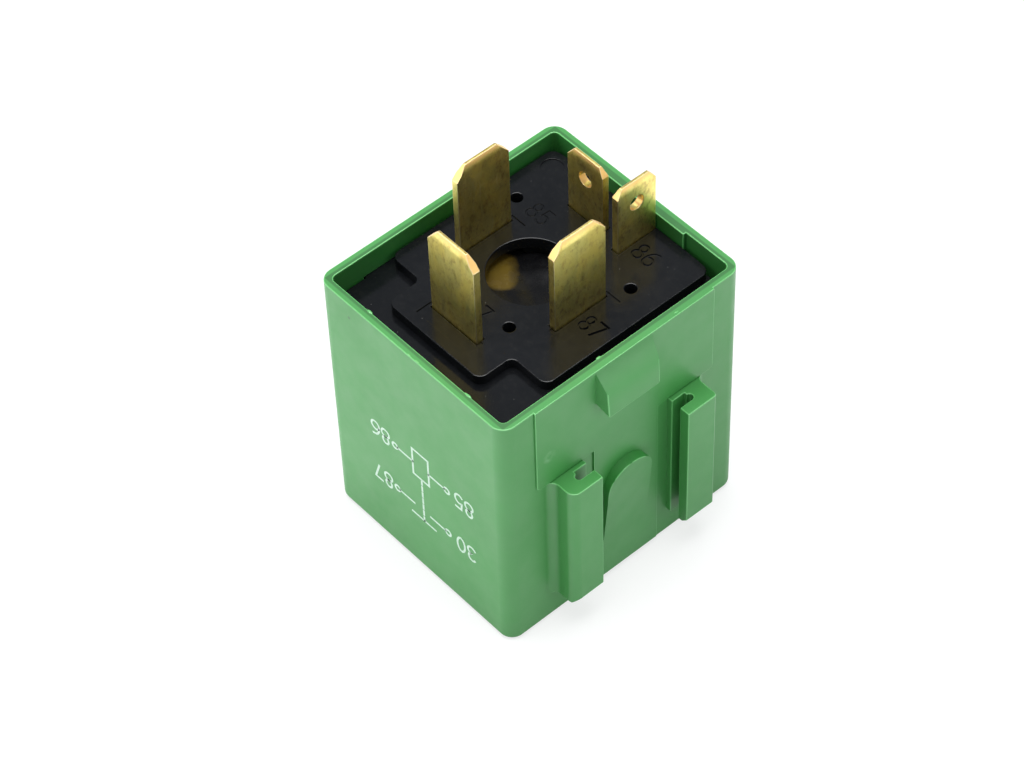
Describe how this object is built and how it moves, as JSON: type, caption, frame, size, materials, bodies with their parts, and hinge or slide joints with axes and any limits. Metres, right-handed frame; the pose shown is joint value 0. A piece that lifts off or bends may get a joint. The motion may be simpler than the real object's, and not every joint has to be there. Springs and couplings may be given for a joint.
{
  "type": "automotive relay",
  "caption": "Plug-in automotive relay: moulded case with bracket rails and a snap wedge, flat blade terminals on a recessed base, and a hinged armature inside",
  "frame": {"origin": "centre of the flat outer face of the case's closed end, on which the relay rests", "axes": "+Z runs from the closed end to the blade tips, +X points to the side with the bracket rails, -Y to the side with the circuit diagram"},
  "size_m": [0.0286, 0.0296, 0.0405],
  "materials": {
    "case_plastic": "glass-filled green plastic, satin, with a fine moulded texture",
    "base_plastic": "black phenolic plastic, glossy",
    "blade_brass": "rolled brass sheet, slightly tarnished",
    "magnet_steel": "soft iron with a dark oxide finish",
    "core_steel": "soft iron, yellow passivated",
    "bobbin_plastic": "natural nylon",
    "coil_wire": "enamelled copper wire",
    "leaf_bronze": "rolled bronze, bright",
    "contact_silver": "silver alloy, satin",
    "resistor_body": "lacquered ceramic with tinned leads"
  },
  "bodies": {
    "housing": {"case": "case_plastic", "base_plate": "base_plastic", "terminal_87_side": "blade_brass", "terminal_87_front": "blade_brass", "terminal_30": "blade_brass", "terminal_85": "blade_brass", "terminal_86": "blade_brass", "yoke": "magnet_steel", "core": "core_steel", "bobbin": "bobbin_plastic", "coil_winding": "coil_wire", "fixed_contact_side": "contact_silver", "fixed_contact_front": "contact_silver", "yoke_rivets": "leaf_bronze", "suppression_resistor": "resistor_body"},
    "armature": {"armature": "magnet_steel", "contact_spring": "leaf_bronze", "moving_contact_side": "contact_silver", "moving_contact_front": "contact_silver", "armature_rivets": "leaf_bronze"}
  },
  "joints": [
    {"name": "armature_hinge", "type": "hinge", "parent": "housing", "child": "armature", "pos_m": [-0.0112, 0.0011, 0.006], "axis": [0, -1, 0], "range_deg": [0, 3.6], "stiffness_Nm_per_rad": 0.05, "springref_deg": -8.59, "deforming": ["contact_spring"]}
  ]
}
